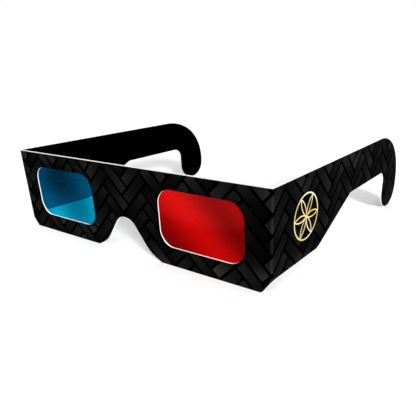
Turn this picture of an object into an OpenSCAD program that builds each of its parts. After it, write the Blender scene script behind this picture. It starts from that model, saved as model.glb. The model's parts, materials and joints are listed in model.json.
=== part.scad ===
// Folding card anaglyph glasses: a laminated front that holds a red and a blue film,
// and two hooked temples that turn on scored folds. Millimetres, +Z up.
// The wearer looks along -Y, so the wearer's left is at +X. The glasses stand on the
// lower edges of the front and on the tips of the two hooks, at Z = 0.

/* [Front] */
// Width of the front, over both temples
front_w = 145; // [135:0.2:160]
// Height of the front
front_h = 39.8; // [36:0.1:46]
// Width of the cut across each lower corner
corner_cut_w = 4.2; // [2:0.2:6]
// Radius at the lower end of each corner cut
corner_r = 1.5; // [0.5:0.1:2]
// Height of the lower end of each fold
fold_bottom = 5.8; // [3:0.1:7]

/* [Windows] */
// Width of card between the two windows
bridge_w = 40.2; // [36:0.1:48]
// Width of card between a window and the outside of its temple
rim_side = 11.2; // [8:0.1:14]
// Width of card above a window
rim_top = 6.7; // [5:0.1:9]
// Width of card below a window
rim_bottom = 8.4; // [6:0.1:10]
// Radius of the window corners
window_r = 7; // [3:0.1:8]
// How far the backing's windows stand back from the front's
backing_reveal = 0.8; // [0.2:0.1:1.5]

/* [Nose notch] */
// Width of the notch at the lower edge
nose_w = 39.6; // [36:0.2:42]
// Height of the notch
nose_h = 17; // [14:0.1:18]
// Radius of the arch that sits on the nose
nose_top_r = 7.2; // [6:0.1:9]
// Slope of the notch's sides, in degrees
nose_slope = 54.5; // [48:0.5:58]
// Slope where the notch runs out into the lower edge, in degrees
nose_exit = 28.5; // [20:0.5:32]
// Radius of the bend between the two slopes
nose_flare_r = 14; // [6:1:16]

/* [Temples] */
// Length of a temple, from the front's face to the back of the hook
temple_len = 130.8; // [115:0.2:150]
// Length of the wide part, from the front's face
wide_len = 35.4; // [30:0.1:46]
// Radius of the wide part's lower corner
wide_r = 8; // [2:0.5:12]
// Length of the slope between the wide part and the arm
step_len = 30.9; // [25:0.1:40]
// Radius where the slope meets the arm
step_r = 4; // [1:0.5:8]
// Width of the arm
arm_w = 18.2; // [14:0.1:22]

/* [Ear hooks] */
// Width of the hook
hook_w = 20.6; // [18:0.1:26]
// Radius inside the hook, where the ear sits
hook_inner_r = 5.3; // [2:0.1:7]
// Radius of the hook's tip on its inner side
hook_tip_r = 10; // [5:0.1:12]
// Length of the flat that the hook's tip stands on
hook_foot = 0.6; // [0.2:0.1:2]
// Length of the straight part of the hook's outer side
hook_side = 2; // [0.2:0.1:4]
// Length over which the top edge runs down to the hook's outer side
crown_back = 21; // [18:0.2:26]
// Height that the top edge loses over that length
crown_drop = 12.5; // [9:0.1:15]

/* [Card and film] */
// Thickness of the printed card of the front and temples
card_t = 0.65; // [0.4:0.05:1.2]
// Thickness of the backing card
backing_t = 0.4; // [0.3:0.05:1.2]
// Thickness of a lens film and of the adhesive round it
film_t = 0.15; // [0.1:0.05:0.4]
// How far a film reaches behind the card round its window
film_lap = 3; // [1.5:0.1:4]
// Radius of a film's corners
film_r = 1; // [0.2:0.1:2]
// Gap round a film in its pocket of adhesive
pocket_gap = 0.3; // [0.1:0.1:0.8]
// How far the adhesive stands back from the card's cut edges
glue_inset = 0.3; // [0.1:0.1:1]

/* [Folds] */
// Gap between layers that lie on each other when folded
fold_gap = 0.2; // [0.1:0.05:0.5]
// Running clearance between a fold and its temple
fold_clear = 0.05; // [0.02:0.01:0.1]
// How far the left temple leans out from square, in degrees
left_lean = 3.2; // [0:0.1:10]
// How far the right temple leans in from square, in degrees
right_lean = 6.5; // [0:0.1:10]

/* [Emblem] */
// Distance of the foil emblem's middle from the front's face
emblem_at = 24.2; // [20:0.2:30]
// Height of the foil emblem's middle
emblem_z = 23; // [18:0.2:26]
// Radius of the foil emblem
emblem_r = 9.5; // [6:0.1:12]
// Width of the emblem's rim
emblem_rim = 0.6; // [0.4:0.1:1.5]
// Width of the emblem's petal lines
emblem_line = 0.5; // [0.3:0.1:0.9]
// Thickness of the foil
foil_t = 0.08; // [0.05:0.01:0.1]

/* [Hidden] */

printed_black = "#151515";
plain_black = "#0b0b0b";
petals = 6;
arc_step = 5;
spare = 2;
$fn = 96;

front_t = card_t + film_t + backing_t;
window_w = (front_w - bridge_w) / 2 - rim_side;
window_h = front_h - rim_top - rim_bottom;
window_x = (bridge_w + window_w) / 2;
window_z = rim_bottom + window_h / 2;

corner_turn = atan2(fold_bottom, corner_cut_w);

arm_z = front_h - arm_w;
hook_y = temple_len - hook_w;
hook_outer_r = hook_w - hook_tip_r - hook_foot;

// Two arcs carry the top edge into the hook's outer side, and meet on a slanted line
crown_y = temple_len - crown_back;
shoulder_z = front_h - crown_drop;
shoulder_run = shoulder_z - hook_outer_r - hook_side;
crown_run = norm([crown_back, crown_drop]) - shoulder_run;
crown_turn = atan2(crown_drop, crown_back);
crown_r = crown_run / tan(crown_turn / 2);
shoulder_r = shoulder_run / tan((90 - crown_turn) / 2);

// A fold stays tangent to the front's face and to its temple's outer face at every angle.
// Folded in, the left temple lies on the backing and the right temple lies on the left one.
left_fold_r = (front_t + card_t + fold_gap) / 2;
right_fold_r = left_fold_r + (card_t + fold_gap) / 2;

function fold_x(r) = front_w / 2 - r;

// The temples lean, so the depth and width of the whole follow from where they end.
// The origin is under the middle of that box, and the front stands off to the right of it.
left_depth = left_fold_r + (temple_len - left_fold_r) * cos(left_lean)
    - (left_fold_r - card_t) * sin(left_lean);
right_depth = right_fold_r + (temple_len - right_fold_r) * cos(right_lean) + right_fold_r * sin(right_lean);
left_reach = fold_x(left_fold_r) + left_fold_r * cos(left_lean) + (temple_len - left_fold_r) * sin(left_lean);
front_x = (front_w / 2 - left_reach) / 2;
front_y = -max(left_depth, right_depth) / 2;
film_y = front_y + card_t;
backing_y = film_y + film_t;

function flat(p) = [p.x, p.y];

function unit(v) = v / norm(v);

// Points along an arc, from one angle through a turn
function arc(centre, r, from, turn) =
    let (steps = ceil(abs(turn) / arc_step))
    [for (i = [0:steps]) let (a = from + turn * i / steps) centre + r * [cos(a), sin(a)]];

// The points that round off one corner of an outline
function round_corner(before, corner, after) =
    let (
        r = corner[2],
        p = flat(corner),
        u = unit(flat(before) - p),
        v = unit(flat(after) - p),
        half = acos(u * v) / 2,
        centre = p + unit(u + v) * r / sin(half),
        start = p + u * r / tan(half) - centre,
        hand = sign(u.y * v.x - u.x * v.y)
    )
    arc(centre, r, atan2(start.y, start.x), hand * (180 - 2 * half));

// An outline from its corners, each with its own radius: [x, y, r]
function rounded(corners) =
    let (n = len(corners))
    [for (i = [0:n - 1])
        each corners[i][2] > 0
            ? round_corner(corners[(i + n - 1) % n], corners[i], corners[(i + 1) % n])
            : [flat(corners[i])]];

// One side of a symmetrical outline, seen in the mirror and in reverse order
function mirrored(corners) =
    [for (i = [len(corners) - 1:-1:0]) [-corners[i].x, corners[i].y, corners[i][2]]];

// The front's left lower corner and left top corner, moved in by an inset
function front_side(inset) = [
    [front_w / 2 - corner_cut_w - inset * tan(corner_turn / 2), inset, corner_r],
    [front_w / 2 - inset, fold_bottom + inset * tan((90 - corner_turn) / 2), 0],
    [front_w / 2 - inset, front_h - inset, 0]
];

// The left side of the nose notch, moved out by an inset, from below the edge to the arch's apex
function notch_side(inset) =
    let (
        apex_z = nose_h - nose_top_r + (nose_top_r + inset) / cos(nose_slope),
        exit_x = nose_w / 2 + inset / sin(nose_exit),
        flare_z = (exit_x - apex_z / tan(nose_slope)) / (1 / tan(nose_exit) - 1 / tan(nose_slope)),
        flare_x = (apex_z - flare_z) / tan(nose_slope)
    )
    [
        [exit_x + spare / tan(nose_exit), -spare, 0],
        [flare_x, flare_z, nose_flare_r - inset],
        [0, apex_z, nose_top_r + inset]
    ];

function notch(inset) =
    let (side = notch_side(inset))
    concat(side, mirrored([side[0], side[1]]));

// A sheet that stands across the glasses, its outline drawn in X and Z
module cross_sheet(y, t) {
    translate([0, y + t, 0]) rotate([90, 0, 0]) linear_extrude(t) children();
}

// A sheet that runs along the glasses, its outline drawn from the front's face and in Z
module side_sheet(x, t) {
    translate([x, front_y, 0]) rotate([90, 0, 90]) linear_extrude(t) children();
}

module front_outline(inset) {
    difference() {
        polygon(rounded(concat(front_side(inset), mirrored(front_side(inset)))));
        polygon(rounded(notch(inset)));
    }
}

// The front's outline between the two folds
module front_blank(inset) {
    low = inset - fold_x(right_fold_r);
    high = fold_x(left_fold_r) - inset;
    intersection() {
        front_outline(inset);
        translate([low, 0]) square([high - low, front_h]);
    }
}

// A round-cornered pane over one window, larger than the window by a margin
module pane(side, margin, r) {
    w = window_w / 2 + margin;
    h = window_h / 2 + margin;
    translate([side * window_x, window_z])
        polygon(rounded([[-w, -h, r], [w, -h, r], [w, h, r], [-w, h, r]]));
}

module panes(margin, r) {
    pane(1, margin, r);
    pane(-1, margin, r);
}

module lens_film(side) {
    cross_sheet(film_y, film_t) pane(side, film_lap, film_r);
}

// The axis of a fold with a radius, as a cylinder
module fold_cylinder(fold_r, r) {
    translate([fold_x(fold_r), front_y + fold_r, -spare]) cylinder(r = r, h = front_h + 2 * spare);
}

// The bent strip of card between the front and the left temple, flush with both on its inside
module fold(r) {
    intersection() {
        difference() {
            fold_cylinder(r, r);
            translate([fold_x(r) - spare, front_y + front_t, -spare])
                cube([spare + r - card_t, 2 * r, front_h + 2 * spare]);
        }
        cross_sheet(front_y, 2 * r) intersection() {
            front_outline(0);
            translate([fold_x(r), 0]) square([r, front_h]);
        }
    }
}

// The left temple, hollowed at its front end to turn round its fold
module temple(r) {
    difference() {
        side_sheet(front_w / 2 - card_t, card_t) polygon(rounded([
            [r, fold_bottom, 0],
            [wide_len, fold_bottom, wide_r],
            [wide_len + step_len, arm_z, step_r],
            [hook_y, arm_z, hook_inner_r],
            [hook_y, 0, hook_tip_r],
            [temple_len, 0, hook_outer_r],
            [temple_len, shoulder_z, shoulder_r],
            [crown_y, front_h, crown_r],
            [r, front_h, 0]
        ]));
        fold_cylinder(r, r + fold_clear);
    }
}

// Turns what belongs to the left temple about its fold, outward by an angle
module leaning(r, angle) {
    axis = [fold_x(r), front_y + r, 0];
    translate(axis) rotate([0, 0, -angle]) translate(-axis) children();
}

// Sets a piece beside the middle of the box
module placed() {
    translate([front_x, 0, 0]) children();
}

module ring(r, width) {
    difference() {
        circle(r);
        circle(r - width);
    }
}

// A six-petalled rosette in a rim: the petals are arcs through the middle
module rosette() {
    petal_r = emblem_r - emblem_rim;
    ring(emblem_r, emblem_rim);
    intersection() {
        circle(emblem_r - emblem_rim / 2);
        for (i = [0:petals - 1])
            rotate(i * 360 / petals) translate([petal_r, 0]) ring(petal_r + emblem_line / 2, emblem_line);
    }
}

module front_card() {
    color(printed_black) placed() cross_sheet(front_y, card_t) difference() {
        front_blank(0);
        panes(0, window_r);
    }
}

module backing_card() {
    color(plain_black) placed() cross_sheet(backing_y, backing_t) difference() {
        front_blank(0);
        panes(backing_reveal, window_r + backing_reveal);
    }
}

module laminating_adhesive() {
    color("#e8e4da") placed() cross_sheet(film_y, film_t) difference() {
        front_blank(glue_inset);
        panes(film_lap + pocket_gap, film_r + pocket_gap);
    }
}

module red_lens_film() {
    color("#c8100e") placed() lens_film(1);
}

module blue_lens_film() {
    color("#0a6f9c") placed() lens_film(-1);
}

module left_fold() {
    color(printed_black) placed() fold(left_fold_r);
}

module right_fold() {
    color(printed_black) placed() mirror([1, 0, 0]) fold(right_fold_r);
}

module left_temple() {
    color(printed_black) placed() leaning(left_fold_r, left_lean) temple(left_fold_r);
}

module right_temple() {
    color(printed_black) placed() mirror([1, 0, 0]) leaning(right_fold_r, -right_lean) temple(right_fold_r);
}

module foil_emblem() {
    color("#d9b96a") placed() leaning(left_fold_r, left_lean)
        side_sheet(front_w / 2, foil_t) translate([emblem_at, emblem_z]) rosette();
}

front_card();
backing_card();
laminating_adhesive();
red_lens_film();
blue_lens_film();
left_fold();
right_fold();
left_temple();
right_temple();
foil_emblem();
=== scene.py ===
"""Looks of a pair of folding card anaglyph glasses, dressed on the frame of their CAD model."""

import json
import math

import bmesh
import bpy
from mathutils import Matrix, Vector


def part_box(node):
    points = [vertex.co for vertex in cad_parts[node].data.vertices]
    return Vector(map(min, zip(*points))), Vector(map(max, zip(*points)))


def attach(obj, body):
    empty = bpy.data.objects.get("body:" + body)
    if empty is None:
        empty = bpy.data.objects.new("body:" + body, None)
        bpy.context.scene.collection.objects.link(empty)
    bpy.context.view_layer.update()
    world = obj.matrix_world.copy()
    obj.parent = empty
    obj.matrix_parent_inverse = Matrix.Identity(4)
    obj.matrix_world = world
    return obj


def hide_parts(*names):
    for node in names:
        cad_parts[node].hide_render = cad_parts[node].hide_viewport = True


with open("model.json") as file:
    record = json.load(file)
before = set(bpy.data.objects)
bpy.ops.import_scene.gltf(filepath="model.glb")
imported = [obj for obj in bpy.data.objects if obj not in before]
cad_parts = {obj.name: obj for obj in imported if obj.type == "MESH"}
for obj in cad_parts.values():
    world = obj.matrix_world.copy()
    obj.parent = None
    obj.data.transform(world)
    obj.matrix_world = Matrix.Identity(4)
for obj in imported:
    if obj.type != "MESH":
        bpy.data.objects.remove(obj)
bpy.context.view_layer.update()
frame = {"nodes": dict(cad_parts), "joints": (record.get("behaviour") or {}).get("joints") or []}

MM = 0.001
PER_MM = 1000.0
UP = (0, 0, 1)

# The foot of the front's face, in its middle
FRONT = Vector((
    (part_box("red_lens_film")[0].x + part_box("blue_lens_film")[1].x) / 2,
    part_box("front_card")[0].y,
    0.0,
))

# Lean of the temples from square, towards the wearer's left
LEFT_LEAN = math.radians(3.2)
RIGHT_LEAN = math.radians(6.5)

# Camera, solved from the edges in the photograph
CAMERA_FROM_FRONT = Vector((137.104, -120.272, 80.48)) * MM
CAMERA_AZIMUTH = math.radians(36.026)
CAMERA_ELEVATION = math.radians(22.838)
CAMERA_ROLL = math.radians(-2.199)
CAMERA_CLIP = 10.0 * MM
IMAGE_SIDE = 416
FOCAL_PIXELS = 433.355
SENSOR_SIDE = 36.0
AXIS_RIGHT_PIXELS = 10
AXIS_DOWN_PIXELS = 29.7

# Light: the dome, and each key's name, direction, strength and angle
HORIZON_STRENGTH = 1.0
DOME_STRENGTH = 0.2
HORIZON_RISE = (0.18, 0.36)
KEYS = (
    ("side_key", Vector((1.85, -1.18, 1.0)), 3.5, math.radians(14.0)),
    ("front_key", Vector((0.50, -0.87, 1.0)), 0.3, math.radians(16.0)),
    ("top_key", Vector((0.0, 0.0, 1.0)), 1.2, math.radians(50.0)),
)

# Floor
FLOOR_SIDE = 8.0
FLOOR_DROP = 0.05 * MM
FLOOR_WHITE = 0.88
FLOOR_MOTTLE = 0.02
FLOOR_ROUGHNESS = 0.9
FLOOR_GLOW = 0.14

# Noises: scale per millimetre, detail and roughness
FIBRE_NOISE = (3.0, 3.0, 0.6)
CORE_NOISE = (2.2, 4.0, 0.7)
CLOUD_NOISE = (0.06, 2.0, 0.5)
WOBBLE_NOISE = (0.05, 1.0, 0.5)
HAZE_NOISE = (0.6, 3.0, 0.5)
GRAIN_NOISE = (1.6, 4.0, 0.65)
SWEEP_NOISE = (0.12, 1.0, 0.5)
STREAK_NOISE = (0.5, 3.0, 0.6)
MOTTLE_NOISE = (0.02, 2.0, 0.5)

# Card: tones as shares of light
BLACK = 0.00002
BLACK_FIBRE = 0.00015
BLACK_ROUGHNESS = 0.85
PLAIN_ROUGHNESS = 0.8
PLAIN_ROUGHNESS_FIBRE = 0.1
CORE_WHITE = 0.94
CORE_MOTTLE = 0.06
CORE_ROUGHNESS = 0.95
CARD_SPECULAR = 0.002
FIBRE_BUMP = 0.25
FIBRE_HEIGHT = 0.03 * MM

# Bars of the print, in millimetres, and their tones as shares of light
BAR_PITCH = 5.4
BAR_GAP = 1.2
BAR_RUN = 3
INK_SOFT = 0.06
INK_ROUGHNESS = 0.6
BAR_DARK_END = 0.0015
BAR_FADE = 0.0056
BAR_LEAST_CHANCE = 0.55
BAR_CHANCE_SPREAD = 0.9
CLOUD_SPREAD = (0.25, 0.75)
CLOUD_TONES = (0.75, 1.2)

# Heights between which the print gets paler towards the card's rims, in millimetres, and how much paler
LOW_RIM = (4.5, 11.0)
LOW_RIM_PALE = 2.3
TOP_RIM = (31.0, 36.0)
TOP_RIM_PALE = 1.4

# How far the black rolls over the cut edges, in millimetres: less where an edge faces up and is rubbed,
# and below zero where it is bare right up to the print
ROLL_OVER = 0.245
TOP_ROLL_OVER = 0.05
LEDGE_ROLL_OVER = -0.05
ROLL_SOFT = 0.04
FACING_UP = (0.5, 0.9)

# Folds: reach of the seams where a sheet runs on into the next piece, in millimetres, and the crease, by its
# angles from the middle of the fold and what it adds to the ink: paler rubbed ink and a painted highlight
SEAM = 0.1
CREASE_ANGLES = (0.15, 0.70)
CREASE_RUB_AND_HIGHLIGHT_TONE = 0.007

# Cosines that tell a sheet's faces from its edges, and an upright face from a level one
FACE_LIMIT = 0.7
UPRIGHT_LIMIT = 0.4

# Film sheets, in millimetres
FILM_LAP = 3.0
FILM_CORNER = 1.0
FILM_CELL = 1.0
BUCKLE_HEIGHT = 0.12
BUCKLE_MARGIN = 7.0
BUCKLE_PERIOD = 28.8
CROSS_SLANT = 0.6
CROSS_SHARE = 0.3
SHARP_ANGLE = math.radians(40.0)

# Film dye, with its bands of painted shade and its painted glare, and their places in millimetres
# Heights over which the lowest tone of the body's painted shade bands goes from the film's foot to its upper
# part
BODY_SHADE_RISE = (5.4, 26.4)
# Painted glare: a pale painted reflection on the red film's upper part, above a soft bent border
PAINTED_GLARE_FOOT = 20.5
PAINTED_GLARE_MIDDLE = 39.3
PAINTED_GLARE_BEND = 0.006
PAINTED_GLARE_SOFT = 2.3
BAND_WOBBLE = 1.5
HAZE_SPREAD = 0.012
FILM_ROUGHNESS = 0.25
FILM_SPECULAR = 0.006

# Foil, whose paler random sweeps also paint its highlights
FOIL_DEEP = (0.92, 0.65, 0.13, 1)
FOIL_PALE_AND_HIGHLIGHT = (1.0, 0.95, 0.68, 1)
FOIL_SWEEP = (0.3, 0.7)
FOIL_ROUGHNESS = 0.22
FOIL_ROUGHNESS_GRAIN = 0.2
FOIL_BUMP = 0.2
FOIL_GRAIN_HEIGHT = 0.02 * MM

# Glue
GLUE_DEEP = (0.78, 0.75, 0.66, 1)
GLUE_PALE = (0.86, 0.84, 0.78, 1)
GLUE_ROUGHNESS = 0.4
GLUE_ROUGHNESS_STREAK = 0.3
GLUE_BUMP = 0.3
GLUE_STREAK_HEIGHT = 0.05 * MM


class Graph:
    """Adds nodes to one new material by short calls, which take sockets and constants alike."""

    def __init__(self, name):
        self.material = bpy.data.materials.new(name)
        self.material.use_nodes = True
        self.tree = self.material.node_tree
        self.tree.nodes.clear()

    def feed(self, socket, value):
        if isinstance(value, bpy.types.NodeSocket):
            self.tree.links.new(value, socket)
        else:
            socket.default_value = value

    def node(self, kind, inputs=(), **settings):
        node = self.tree.nodes.new(kind)
        for key, value in settings.items():
            setattr(node, key, value)
        for key, value in dict(inputs).items():
            self.feed(node.inputs[key], value)
        return node

    def math(self, operation, *values):
        return self.node("ShaderNodeMath", enumerate(values), operation=operation).outputs[0]

    def vector(self, operation, *values):
        node = self.node("ShaderNodeVectorMath", enumerate(values), operation=operation)
        return node.outputs["Value" if operation in ("DOT_PRODUCT", "LENGTH") else "Vector"]

    def combine(self, x, y, z):
        return self.node("ShaderNodeCombineXYZ", enumerate((x, y, z))).outputs[0]

    def split(self, vector):
        parts = self.node("ShaderNodeSeparateXYZ", {0: vector}).outputs
        return parts["X"], parts["Y"], parts["Z"]

    def ramp(self, value, start, end, low=0.0, high=1.0):
        """A smooth step from low to high as value goes from start to end."""
        inputs = {"Value": value, "From Min": start, "From Max": end, "To Min": low, "To Max": high}
        return self.node("ShaderNodeMapRange", inputs, interpolation_type="SMOOTHSTEP").outputs[0]

    def mix(self, share, a, b):
        inputs = {0: share, 2: a, 3: b}
        return self.node("ShaderNodeMix", inputs, data_type="FLOAT").outputs[0]

    def mix_colour(self, share, a, b, blend="MIX"):
        inputs = {0: share, 6: a, 7: b}
        return self.node("ShaderNodeMix", inputs, data_type="RGBA", blend_type=blend).outputs[2]

    def grey(self, value):
        return self.node("ShaderNodeCombineColor", enumerate((value, value, value))).outputs[0]

    def noise(self, place, scale, detail, roughness):
        inputs = {"Vector": place, "Scale": scale, "Detail": detail, "Roughness": roughness}
        return self.node("ShaderNodeTexNoise", inputs).outputs["Fac"]

    def place(self):
        """The point's place in the part's own frame, in millimetres."""
        coordinates = self.node("ShaderNodeTexCoord").outputs["Object"]
        return self.vector("MULTIPLY", coordinates, (PER_MM, PER_MM, PER_MM))

    def facing(self, direction):
        """How far the surface faces a direction, from -1 to 1."""
        normal = self.node("ShaderNodeTexCoord").outputs["Normal"]
        return self.vector("DOT_PRODUCT", normal, direction)

    def bump(self, height, strength, distance):
        inputs = {"Height": height, "Strength": strength, "Distance": distance}
        return self.node("ShaderNodeBump", inputs).outputs[0]

    def finish(self, shader):
        output = self.node("ShaderNodeOutputMaterial", {"Surface": shader.outputs[0]})
        output.is_active_output = True
        return self.material


# Card

def herringbone(graph, along, up):
    """A herringbone of bars: whether a point is inked, how far along its bar it lies, and the bar's chance.

    A bar is one cell wide and BAR_RUN cells long, on a grid of columns and rows that stands at 45 degrees.
    """
    turn = math.sqrt(0.5) / BAR_PITCH
    right_up = graph.math("MULTIPLY", graph.math("ADD", along, up), turn)
    left_up = graph.math("MULTIPLY", graph.math("SUBTRACT", up, along), turn)
    column = graph.math("FLOOR", right_up)
    row = graph.math("FLOOR", left_up)
    in_column = graph.math("FRACT", right_up)
    in_row = graph.math("FRACT", left_up)
    step = graph.math("FLOORED_MODULO", graph.math("SUBTRACT", column, row), 2.0 * BAR_RUN)
    lying = graph.math("LESS_THAN", step, BAR_RUN - 0.5)
    rise = graph.math("SUBTRACT", 2.0 * BAR_RUN - 1.0, step)
    run = graph.mix(lying, graph.math("ADD", rise, in_row), graph.math("ADD", step, in_column))
    side = graph.mix(lying, in_column, in_row)
    to_ends = graph.math("MINIMUM", run, graph.math("SUBTRACT", float(BAR_RUN), run))
    to_sides = graph.math("MINIMUM", side, graph.math("SUBTRACT", 1.0, side))
    to_edge = graph.math("MULTIPLY", graph.math("MINIMUM", to_ends, to_sides), BAR_PITCH)
    ink = graph.ramp(to_edge, BAR_GAP / 2 - INK_SOFT, BAR_GAP / 2 + INK_SOFT)
    first_column = graph.math("SUBTRACT", column, graph.math("MULTIPLY", lying, step))
    standing = graph.math("SUBTRACT", 1.0, lying)
    first_row = graph.math("SUBTRACT", row, graph.math("MULTIPLY", standing, rise))
    bar = graph.combine(first_column, first_row, lying)
    chance = graph.node("ShaderNodeTexWhiteNoise", {"Vector": bar}, noise_dimensions="3D").outputs["Value"]
    return ink, graph.math("DIVIDE", run, float(BAR_RUN)), chance


def bar_tone(graph, place, z, run, chance):
    """The grey of a bar: it fades to one end or the other, and varies by bar, in clouds and by height."""
    flipped = graph.math("SUBTRACT", 1.0, run)
    fade = graph.mix(graph.math("GREATER_THAN", chance, 0.5), run, flipped)
    tone = graph.math("MULTIPLY_ADD", graph.math("POWER", fade, 2.0), BAR_FADE, BAR_DARK_END)
    cloud = graph.noise(place, *CLOUD_NOISE)
    for factor in (
        graph.math("MULTIPLY_ADD", chance, BAR_CHANCE_SPREAD, BAR_LEAST_CHANCE),
        graph.ramp(cloud, *CLOUD_SPREAD, *CLOUD_TONES),
        graph.ramp(z, *LOW_RIM, LOW_RIM_PALE, 1.0),
        graph.ramp(z, *TOP_RIM, 1.0, TOP_RIM_PALE),
    ):
        tone = graph.math("MULTIPLY", tone, factor)
    return tone


def across_sheet(graph, facing):
    """Whether a face crosses the sheet's thickness, given how far it faces out."""
    return graph.math("LESS_THAN", graph.math("ABSOLUTE", facing), FACE_LIMIT)


def bare_of_print(graph, z, depth):
    """Whether the black that rolls over a cut edge ends short of a point at a depth below the print."""
    rubbed = graph.ramp(z, *TOP_RIM, LEDGE_ROLL_OVER, TOP_ROLL_OVER)
    rolled = graph.ramp(graph.facing(UP), *FACING_UP, ROLL_OVER, rubbed)
    return graph.ramp(graph.math("SUBTRACT", depth, rolled), -ROLL_SOFT, ROLL_SOFT)


def black_card(graph, fibre):
    """The black that the card has all over."""
    return graph.math("MULTIPLY_ADD", fibre, BLACK_FIBRE, BLACK)


def finish_card(graph, place, fibre, cut, tone, roughness):
    """Card of the given tone and roughness, with its white core at the cuts."""
    core = graph.math("MULTIPLY_ADD", graph.noise(place, *CORE_NOISE), CORE_MOTTLE, CORE_WHITE)
    return graph.finish(graph.node("ShaderNodeBsdfPrincipled", {
        "Base Color": graph.grey(graph.mix(cut, tone, core)),
        "Roughness": graph.mix(cut, roughness, CORE_ROUGHNESS),
        "Specular IOR Level": CARD_SPECULAR,
        "Normal": graph.bump(fibre, FIBRE_BUMP, FIBRE_HEIGHT),
    }))


def printed_card(name, along, outward, depth, joined, crease=None):
    """Black card with a grey herringbone on its outer face, plain black inside and white at the cuts.

    The arguments after the name are functions of the graph and a point's x and y: the point's place along
    the unfolded sheet, the way its outer face looks, the depth below that face, whether the sheet runs on
    there into the next piece, and what a crease adds to the ink's tone, which is paler rubbed ink and a
    painted highlight.
    """
    graph = Graph(name)
    place = graph.place()
    x, y, z = graph.split(place)
    facing = graph.facing(outward(graph, x, y))
    free = graph.math("SUBTRACT", 1.0, joined(graph, x, y))
    cut = graph.math("MULTIPLY", across_sheet(graph, facing), free)
    cut = graph.math("MULTIPLY", cut, bare_of_print(graph, z, depth(graph, x, y)))
    ink, run, chance = herringbone(graph, along(graph, x, y), z)
    ink = graph.math("MULTIPLY", ink, graph.math("GREATER_THAN", facing, FACE_LIMIT))
    fibre = graph.noise(place, *FIBRE_NOISE)
    grey = graph.math("MULTIPLY", bar_tone(graph, place, z, run, chance), ink)
    tone = graph.math("ADD", black_card(graph, fibre), grey)
    if crease:
        # The crease adds paler rubbed ink with a painted highlight along the fold's middle
        tone = graph.math("MULTIPLY_ADD", crease(graph, x, y), ink, tone)
    roughness = graph.mix(ink, BLACK_ROUGHNESS, INK_ROUGHNESS)
    return finish_card(graph, place, fibre, cut, tone, roughness)


def plain_card(name, outward):
    """Plain black card, white at the cuts."""
    graph = Graph(name)
    place = graph.place()
    cut = across_sheet(graph, graph.facing(outward))
    fibre = graph.noise(place, *FIBRE_NOISE)
    roughness = graph.math("MULTIPLY_ADD", fibre, PLAIN_ROUGHNESS_FIBRE, PLAIN_ROUGHNESS)
    return finish_card(graph, place, fibre, cut, black_card(graph, fibre), roughness)


class Fold:
    """One scored fold: its axis, outer radius, side and lean, and the sheet's own coordinate round it."""

    def __init__(self, node, joint, side, lean):
        axis = next(j for j in frame["joints"] if j["name"] == joint)["pos_m"]
        self.side = side
        self.backward = (math.sin(lean), math.cos(lean), 0.0)
        self.sideward = (side * math.cos(lean), -side * math.sin(lean), 0.0)
        self.x = axis[0] * PER_MM
        self.y = axis[1] * PER_MM
        self.radius = self.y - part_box(node)[0].y * PER_MM
        self.arc = self.radius * math.pi / 2

    def from_axis(self, graph, x, y):
        """The way to a point from the fold's axis, seen from above."""
        return graph.combine(graph.math("SUBTRACT", x, self.x), graph.math("SUBTRACT", y, self.y), 0.0)

    def reach(self, graph, x, y):
        """A point's distance from the fold's axis."""
        return graph.vector("LENGTH", self.from_axis(graph, x, y))

    def sideways(self, graph, x):
        """How far a point lies to the fold's own side of its axis."""
        return graph.math("MULTIPLY", graph.math("SUBTRACT", x, self.x), self.side)

    def turn(self, graph, x, y):
        """The angle round the axis from the front's side of the fold to a point."""
        return graph.math("ARCTAN2", self.sideways(graph, x), graph.math("SUBTRACT", self.y, y))

    def outward(self, graph, x, y):
        """The way that the fold's outer face looks."""
        return graph.vector("NORMALIZE", self.from_axis(graph, x, y))

    def along_fold(self, graph, x, y):
        """Where a point of the fold lies along the unfolded sheet."""
        arc = graph.math("MULTIPLY", self.turn(graph, x, y), self.radius)
        return graph.math("MULTIPLY_ADD", arc, self.side, self.x)

    def along_temple(self, graph, x, y):
        """Where a point of the temple lies along the unfolded sheet."""
        behind = graph.vector("DOT_PRODUCT", self.from_axis(graph, x, y), self.backward)
        return graph.math("MULTIPLY_ADD", graph.math("ADD", behind, self.arc), self.side, self.x)

    def fold_depth(self, graph, x, y):
        """How far a point lies inside the fold's outer face."""
        return graph.math("SUBTRACT", self.radius, self.reach(graph, x, y))

    def temple_depth(self, graph, x, y):
        """How far a point lies inside the temple's outer face."""
        out = graph.vector("DOT_PRODUCT", self.from_axis(graph, x, y), self.sideward)
        return graph.math("SUBTRACT", self.radius, out)

    def crease(self, graph, x, y):
        """Ink rubbed paler along the middle of the fold, which also paints the highlight of its rounded
        middle.
        """
        off = graph.math("ABSOLUTE", graph.math("SUBTRACT", self.turn(graph, x, y), math.pi / 4))
        return graph.ramp(off, *CREASE_ANGLES, CREASE_RUB_AND_HIGHLIGHT_TONE, 0.0)

    def beside(self, graph, x, y):
        """Whether a point lies on the fold or where a temple meets it."""
        return graph.math("LESS_THAN", self.reach(graph, x, y), self.radius + SEAM)

    def beyond(self, graph, x):
        """Whether a point lies at the front's seam with the fold."""
        return graph.math("GREATER_THAN", self.sideways(graph, x), -SEAM)


# Films

def shade_banded(graph, place, colour, bands, lowest):
    """A colour that dims to a lowest share of itself along soft slanting bands of painted shade."""
    bright_at, period, slant = bands
    x, _, z = graph.split(place)
    slanted = graph.math("MULTIPLY_ADD", z, slant, graph.math("SUBTRACT", x, FRONT.x * PER_MM))
    across = graph.math("DIVIDE", slanted, math.hypot(1.0, slant))
    wobble = graph.math("MULTIPLY_ADD", graph.noise(place, *WOBBLE_NOISE), 2 * BAND_WOBBLE, -BAND_WOBBLE)
    across = graph.math("ADD", across, wobble)
    turn = graph.math("MULTIPLY", graph.math("SUBTRACT", across, bright_at), 2 * math.pi / period)
    clear = graph.math("MULTIPLY_ADD", graph.math("COSINE", turn), 0.5, 0.5)
    return graph.mix_colour(1.0, colour, graph.grey(graph.mix(clear, lowest, 1.0)), "MULTIPLY")


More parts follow.
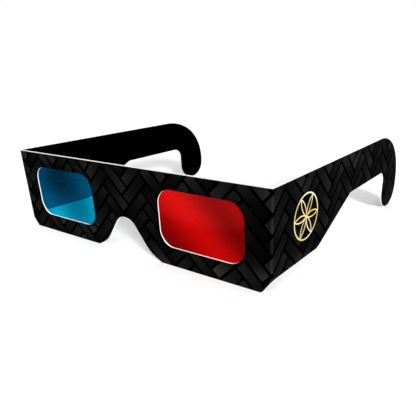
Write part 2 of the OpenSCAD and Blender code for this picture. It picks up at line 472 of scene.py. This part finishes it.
def with_painted_glare(graph, place, colour, painted_glare):
    """A colour with a pale painted glare, a painted reflection, added on the film's upper part, down to a
    soft bent border.
    """
    x, _, z = graph.split(place)
    off = graph.math("SUBTRACT", x, FRONT.x * PER_MM + PAINTED_GLARE_MIDDLE)
    border = graph.math("MULTIPLY_ADD", graph.math("MULTIPLY", off, off), PAINTED_GLARE_BEND, PAINTED_GLARE_FOOT)
    upper = graph.ramp(graph.math("SUBTRACT", z, border), -PAINTED_GLARE_SOFT, PAINTED_GLARE_SOFT)
    return graph.mix_colour(upper, colour, painted_glare, "ADD")


def film(name, tint, tint_shade_low, tint_shade_bands, body, body_shade_low, body_shade_bands, share, painted_glare=None):
    """Dyed film: a clear tint, mixed with a share of slightly hazy body.

    The tint and the body dim along bands of painted shade, each set with its brightest place, period and
    slant.
    The lowest tones there are given for the tint, and for the body at the film's foot and further up. A
    painted glare, a pale painted reflection, is added on the upper part of the body where one is given.
    """
    graph = Graph(name)
    place = graph.place()
    # Painted shade: the body, and below the tint, dim along soft slanting bands
    body_shade_lowest = graph.ramp(graph.split(place)[2], *BODY_SHADE_RISE, *body_shade_low)
    colour = shade_banded(graph, place, body, body_shade_bands, body_shade_lowest)
    # Painted reflection: a pale glare added on the film's upper part
    if painted_glare:
        colour = with_painted_glare(graph, place, colour, painted_glare)
    see_through = graph.node("ShaderNodeBsdfTransparent", {
        "Color": shade_banded(graph, place, tint, tint_shade_bands, tint_shade_low),
    })
    dye = graph.node("ShaderNodeBsdfPrincipled", {
        "Base Color": colour, "Roughness": FILM_ROUGHNESS, "Specular IOR Level": FILM_SPECULAR,
    })
    haze = graph.math("MULTIPLY_ADD", graph.noise(place, *HAZE_NOISE), HAZE_SPREAD, share)
    return graph.finish(graph.node("ShaderNodeMixShader", {
        0: haze, 1: see_through.outputs[0], 2: dye.outputs[0],
    }))


def rounded(dx, dz, half_x, half_z):
    """A point of a rectangle, drawn in onto its round corners."""
    corner = FILM_CORNER * MM
    over_x = abs(dx) - half_x + corner
    over_z = abs(dz) - half_z + corner
    over = math.hypot(over_x, over_z)
    if over_x > 0 and over_z > 0 and over > corner:
        dx = math.copysign(half_x - corner + over_x * corner / over, dx)
        dz = math.copysign(half_z - corner + over_z * corner / over, dz)
    return dx, dz


def buckle(dx, dz, half_x, half_z):
    """How far a point of a film bows out of its plane: not at all where the card clamps it."""
    inside = min(half_x - abs(dx), half_z - abs(dz)) / MM - FILM_LAP
    share = min(max(inside / BUCKLE_MARGIN, 0.0), 1.0)
    hold = share * share * (3 - 2 * share)
    across = (dx + dz) / MM * math.sqrt(0.5)
    slow = math.sin(2 * math.pi * across / BUCKLE_PERIOD)
    cross = math.cos(2 * math.pi * (dx - CROSS_SLANT * dz) / MM / BUCKLE_PERIOD)
    return BUCKLE_HEIGHT * MM * hold * ((1 - CROSS_SHARE) * slow + CROSS_SHARE * cross)


def film_layer(shape, low, high, y, columns, rows):
    """The points of one face of a film, on a grid of columns and rows."""
    middle = (low + high) / 2
    half_x = (high.x - low.x) / 2
    half_z = (high.z - low.z) / 2
    layer = {}
    for column in range(columns + 1):
        for row in range(rows + 1):
            dx = (2 * column / columns - 1) * half_x
            dz = (2 * row / rows - 1) * half_z
            dx, dz = rounded(dx, dz, half_x, half_z)
            point = (middle.x + dx, y + buckle(dx, dz, half_x, half_z), middle.z + dz)
            layer[column, row] = shape.verts.new(point)
    return layer


def film_sheet(name, node, material):
    """A thin sheet in the place of its CAD film, slightly buckled inside the rim that the card clamps."""
    low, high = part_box(node)
    columns = round((high.x - low.x) / (FILM_CELL * MM))
    rows = round((high.z - low.z) / (FILM_CELL * MM))
    shape = bmesh.new()
    front, back = [film_layer(shape, low, high, y, columns, rows) for y in (low.y, high.y)]
    for column in range(columns):
        for row in range(rows):
            ring = [(column, row), (column + 1, row), (column + 1, row + 1), (column, row + 1)]
            shape.faces.new([front[at] for at in ring])
            shape.faces.new([back[at] for at in reversed(ring)])
    rim = [(column, 0) for column in range(columns)]
    rim += [(columns, row) for row in range(rows)]
    rim += [(column, rows) for column in range(columns, 0, -1)]
    rim += [(0, row) for row in range(rows, 0, -1)]
    for at, after in zip(rim, rim[1:] + rim[:1]):
        shape.faces.new([front[after], front[at], back[at], back[after]])
    bmesh.ops.recalc_face_normals(shape, faces=shape.faces)
    mesh = bpy.data.meshes.new(name)
    shape.to_mesh(mesh)
    shape.free()
    mesh.shade_smooth()
    mesh.set_sharp_from_angle(angle=SHARP_ANGLE)
    mesh.materials.append(material)
    sheet = bpy.data.objects.new(name, mesh)
    bpy.context.scene.collection.objects.link(sheet)
    return sheet


# Foil and glue

def gold_foil():
    """Bright stamped foil with a fine grain, paler in broad random sweeps, which also paint its highlights.
    """
    graph = Graph("gold_foil")
    place = graph.place()
    grain = graph.noise(place, *GRAIN_NOISE)
    sweep_and_highlight = graph.noise(place, *SWEEP_NOISE)
    return graph.finish(graph.node("ShaderNodeBsdfPrincipled", {
        # Painted highlight: the paler sweeps stand in part for the foil's highlights
        "Base Color": graph.mix_colour(graph.ramp(sweep_and_highlight, *FOIL_SWEEP), FOIL_DEEP, FOIL_PALE_AND_HIGHLIGHT),
        "Metallic": 1.0,
        "Roughness": graph.math("MULTIPLY_ADD", grain, FOIL_ROUGHNESS_GRAIN, FOIL_ROUGHNESS),
        "Normal": graph.bump(grain, FOIL_BUMP, FOIL_GRAIN_HEIGHT),
    }))


def dried_glue():
    """Pale dried glue, streaked as it was spread."""
    graph = Graph("dried_glue")
    streak = graph.noise(graph.place(), *STREAK_NOISE)
    return graph.finish(graph.node("ShaderNodeBsdfPrincipled", {
        "Base Color": graph.mix_colour(streak, GLUE_DEEP, GLUE_PALE),
        "Roughness": graph.math("MULTIPLY_ADD", streak, GLUE_ROUGHNESS_STREAK, GLUE_ROUGHNESS),
        "Normal": graph.bump(streak, GLUE_BUMP, GLUE_STREAK_HEIGHT),
    }))


# The CAD nodes that show

def dress(node, material):
    piece = frame["nodes"][node]
    piece.data.materials.clear()
    piece.data.materials.append(material)


def constant(value):
    return lambda graph, x, y: value


def along_front(graph, x, y):
    """Where a point of the front lies along the unfolded sheet."""
    return x


def behind_front(graph, x, y):
    """How far a point lies behind the front's face."""
    return graph.math("SUBTRACT", y, FRONT.y * PER_MM)


def at_ends(left, right):
    """The seams of the front with its two folds."""
    return lambda graph, x, y: graph.math("MAXIMUM", left.beyond(graph, x), right.beyond(graph, x))


def upright(graph, x, y):
    """Whether a face stands upright: a fold's seams do, and its cut edges do not."""
    return graph.math("LESS_THAN", graph.math("ABSOLUTE", graph.facing(UP)), UPRIGHT_LIMIT)


def dress_part():
    left = Fold("left_fold", "left_temple_fold", 1.0, LEFT_LEAN)
    right = Fold("right_fold", "right_temple_fold", -1.0, RIGHT_LEAN)
    dress("front_card", printed_card(
        "front_print", along_front, constant((0, -1, 0)), behind_front, at_ends(left, right),
    ))
    for fold, side in ((left, "left"), (right, "right")):
        dress(side + "_temple", printed_card(
            side + "_print", fold.along_temple, constant(fold.sideward), fold.temple_depth, fold.beside,
        ))
        dress(side + "_fold", printed_card(
            side + "_fold_print", fold.along_fold, fold.outward, fold.fold_depth, upright, fold.crease,
        ))
    dress("backing_card", plain_card("backing_black", (0, 1, 0)))
    dress("laminating_adhesive", dried_glue())
    dress("foil_emblem", gold_foil())


def add_films():
    red = film(
        "red_dye", tint=(0.85, 0.085, 0.085, 1), tint_shade_low=0.50, tint_shade_bands=(45.2, 28.8, 1.20),
        body=(0.80, 0.002, 0.002, 1), body_shade_low=(0.10, 0.10), body_shade_bands=(35.9, 28.6, 1.22), share=0.30,
        painted_glare=(0.11, 0.006, 0.006, 1),
    )
    blue = film(
        "blue_dye", tint=(0.0, 0.87, 0.984, 1), tint_shade_low=0.64, tint_shade_bands=(-12.7, 34.4, 0.20),
        body=(0.0, 0.192, 0.419, 1), body_shade_low=(1.0, 0.22), body_shade_bands=(-7.5, 60.1, 0.22), share=0.26,
    )
    for name, node, slot, material in (
        ("red_film_sheet", "red_lens_film", "red_film", red),
        ("blue_film_sheet", "blue_lens_film", "blue_film", blue),
    ):
        sheet = film_sheet(name, node, material)
        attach(sheet, "front")
        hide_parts(node)


# Stage

def pale_floor():
    """White, faintly mottled and glowing a little, as a light table does, which keeps its shadows pale."""
    graph = Graph("pale_floor")
    mottle = graph.noise(graph.place(), *MOTTLE_NOISE)
    colour = graph.grey(graph.math("MULTIPLY_ADD", mottle, FLOOR_MOTTLE, FLOOR_WHITE))
    return graph.finish(graph.node("ShaderNodeBsdfPrincipled", {
        "Base Color": colour, "Roughness": FLOOR_ROUGHNESS, "Specular IOR Level": 0.0,
        "Emission Color": colour, "Emission Strength": FLOOR_GLOW,
    }))


def add_floor():
    mesh = bpy.data.meshes.new("floor")
    half = FLOOR_SIDE / 2
    corners = [(-half, -half), (half, -half), (half, half), (-half, half)]
    mesh.from_pydata([(x, y, -FLOOR_DROP) for x, y in corners], [], [(0, 1, 2, 3)])
    mesh.materials.append(pale_floor())
    floor = bpy.data.objects.new("floor", mesh)
    bpy.context.scene.collection.objects.link(floor)


def add_dome():
    """A pale dome, white at the horizon."""
    world = bpy.data.worlds.new("studio")
    world.use_nodes = True
    tree = world.node_tree
    background = tree.nodes["Background"]
    background.inputs["Color"].default_value = (1, 1, 1, 1)
    direction = tree.nodes.new("ShaderNodeTexCoord")
    parts = tree.nodes.new("ShaderNodeSeparateXYZ")
    dimming = tree.nodes.new("ShaderNodeMapRange")
    dimming.inputs["From Min"].default_value, dimming.inputs["From Max"].default_value = HORIZON_RISE
    dimming.inputs["To Min"].default_value = HORIZON_STRENGTH
    dimming.inputs["To Max"].default_value = DOME_STRENGTH
    tree.links.new(direction.outputs["Generated"], parts.inputs[0])
    tree.links.new(parts.outputs["Z"], dimming.inputs["Value"])
    tree.links.new(dimming.outputs[0], background.inputs["Strength"])
    bpy.context.scene.world = world


def add_keys():
    """Soft keys from the wearer's left, the front and above."""
    for name, source, strength, angle in KEYS:
        sun = bpy.data.lights.new(name, "SUN")
        sun.energy = strength
        sun.angle = angle
        key = bpy.data.objects.new(name, sun)
        key.rotation_euler = (-source).to_track_quat("-Z", "Y").to_euler()
        bpy.context.scene.collection.objects.link(key)


def add_camera():
    level = Vector((math.cos(CAMERA_AZIMUTH), math.sin(CAMERA_AZIMUTH), 0.0))
    outward = Vector((math.sin(CAMERA_AZIMUTH), -math.cos(CAMERA_AZIMUTH), 0.0))
    back = math.cos(CAMERA_ELEVATION) * outward + math.sin(CAMERA_ELEVATION) * Vector(UP)
    steep = back.cross(level)
    right = math.cos(CAMERA_ROLL) * level + math.sin(CAMERA_ROLL) * steep
    up = math.cos(CAMERA_ROLL) * steep - math.sin(CAMERA_ROLL) * level
    lens = bpy.data.cameras.new("camera")
    lens.sensor_width = SENSOR_SIDE
    lens.lens = FOCAL_PIXELS / IMAGE_SIDE * SENSOR_SIDE
    lens.shift_x = -AXIS_RIGHT_PIXELS / IMAGE_SIDE
    lens.shift_y = AXIS_DOWN_PIXELS / IMAGE_SIDE
    lens.clip_start = CAMERA_CLIP
    camera = bpy.data.objects.new("camera", lens)
    turned = Matrix((right, up, back)).transposed().to_4x4()
    camera.matrix_world = Matrix.Translation(FRONT + CAMERA_FROM_FRONT) @ turned
    bpy.context.scene.collection.objects.link(camera)
    bpy.context.scene.camera = camera


add_camera()
add_dome()
add_keys()
bpy.context.scene.view_settings.view_transform = "Standard"
add_floor()
dress_part()
add_films()
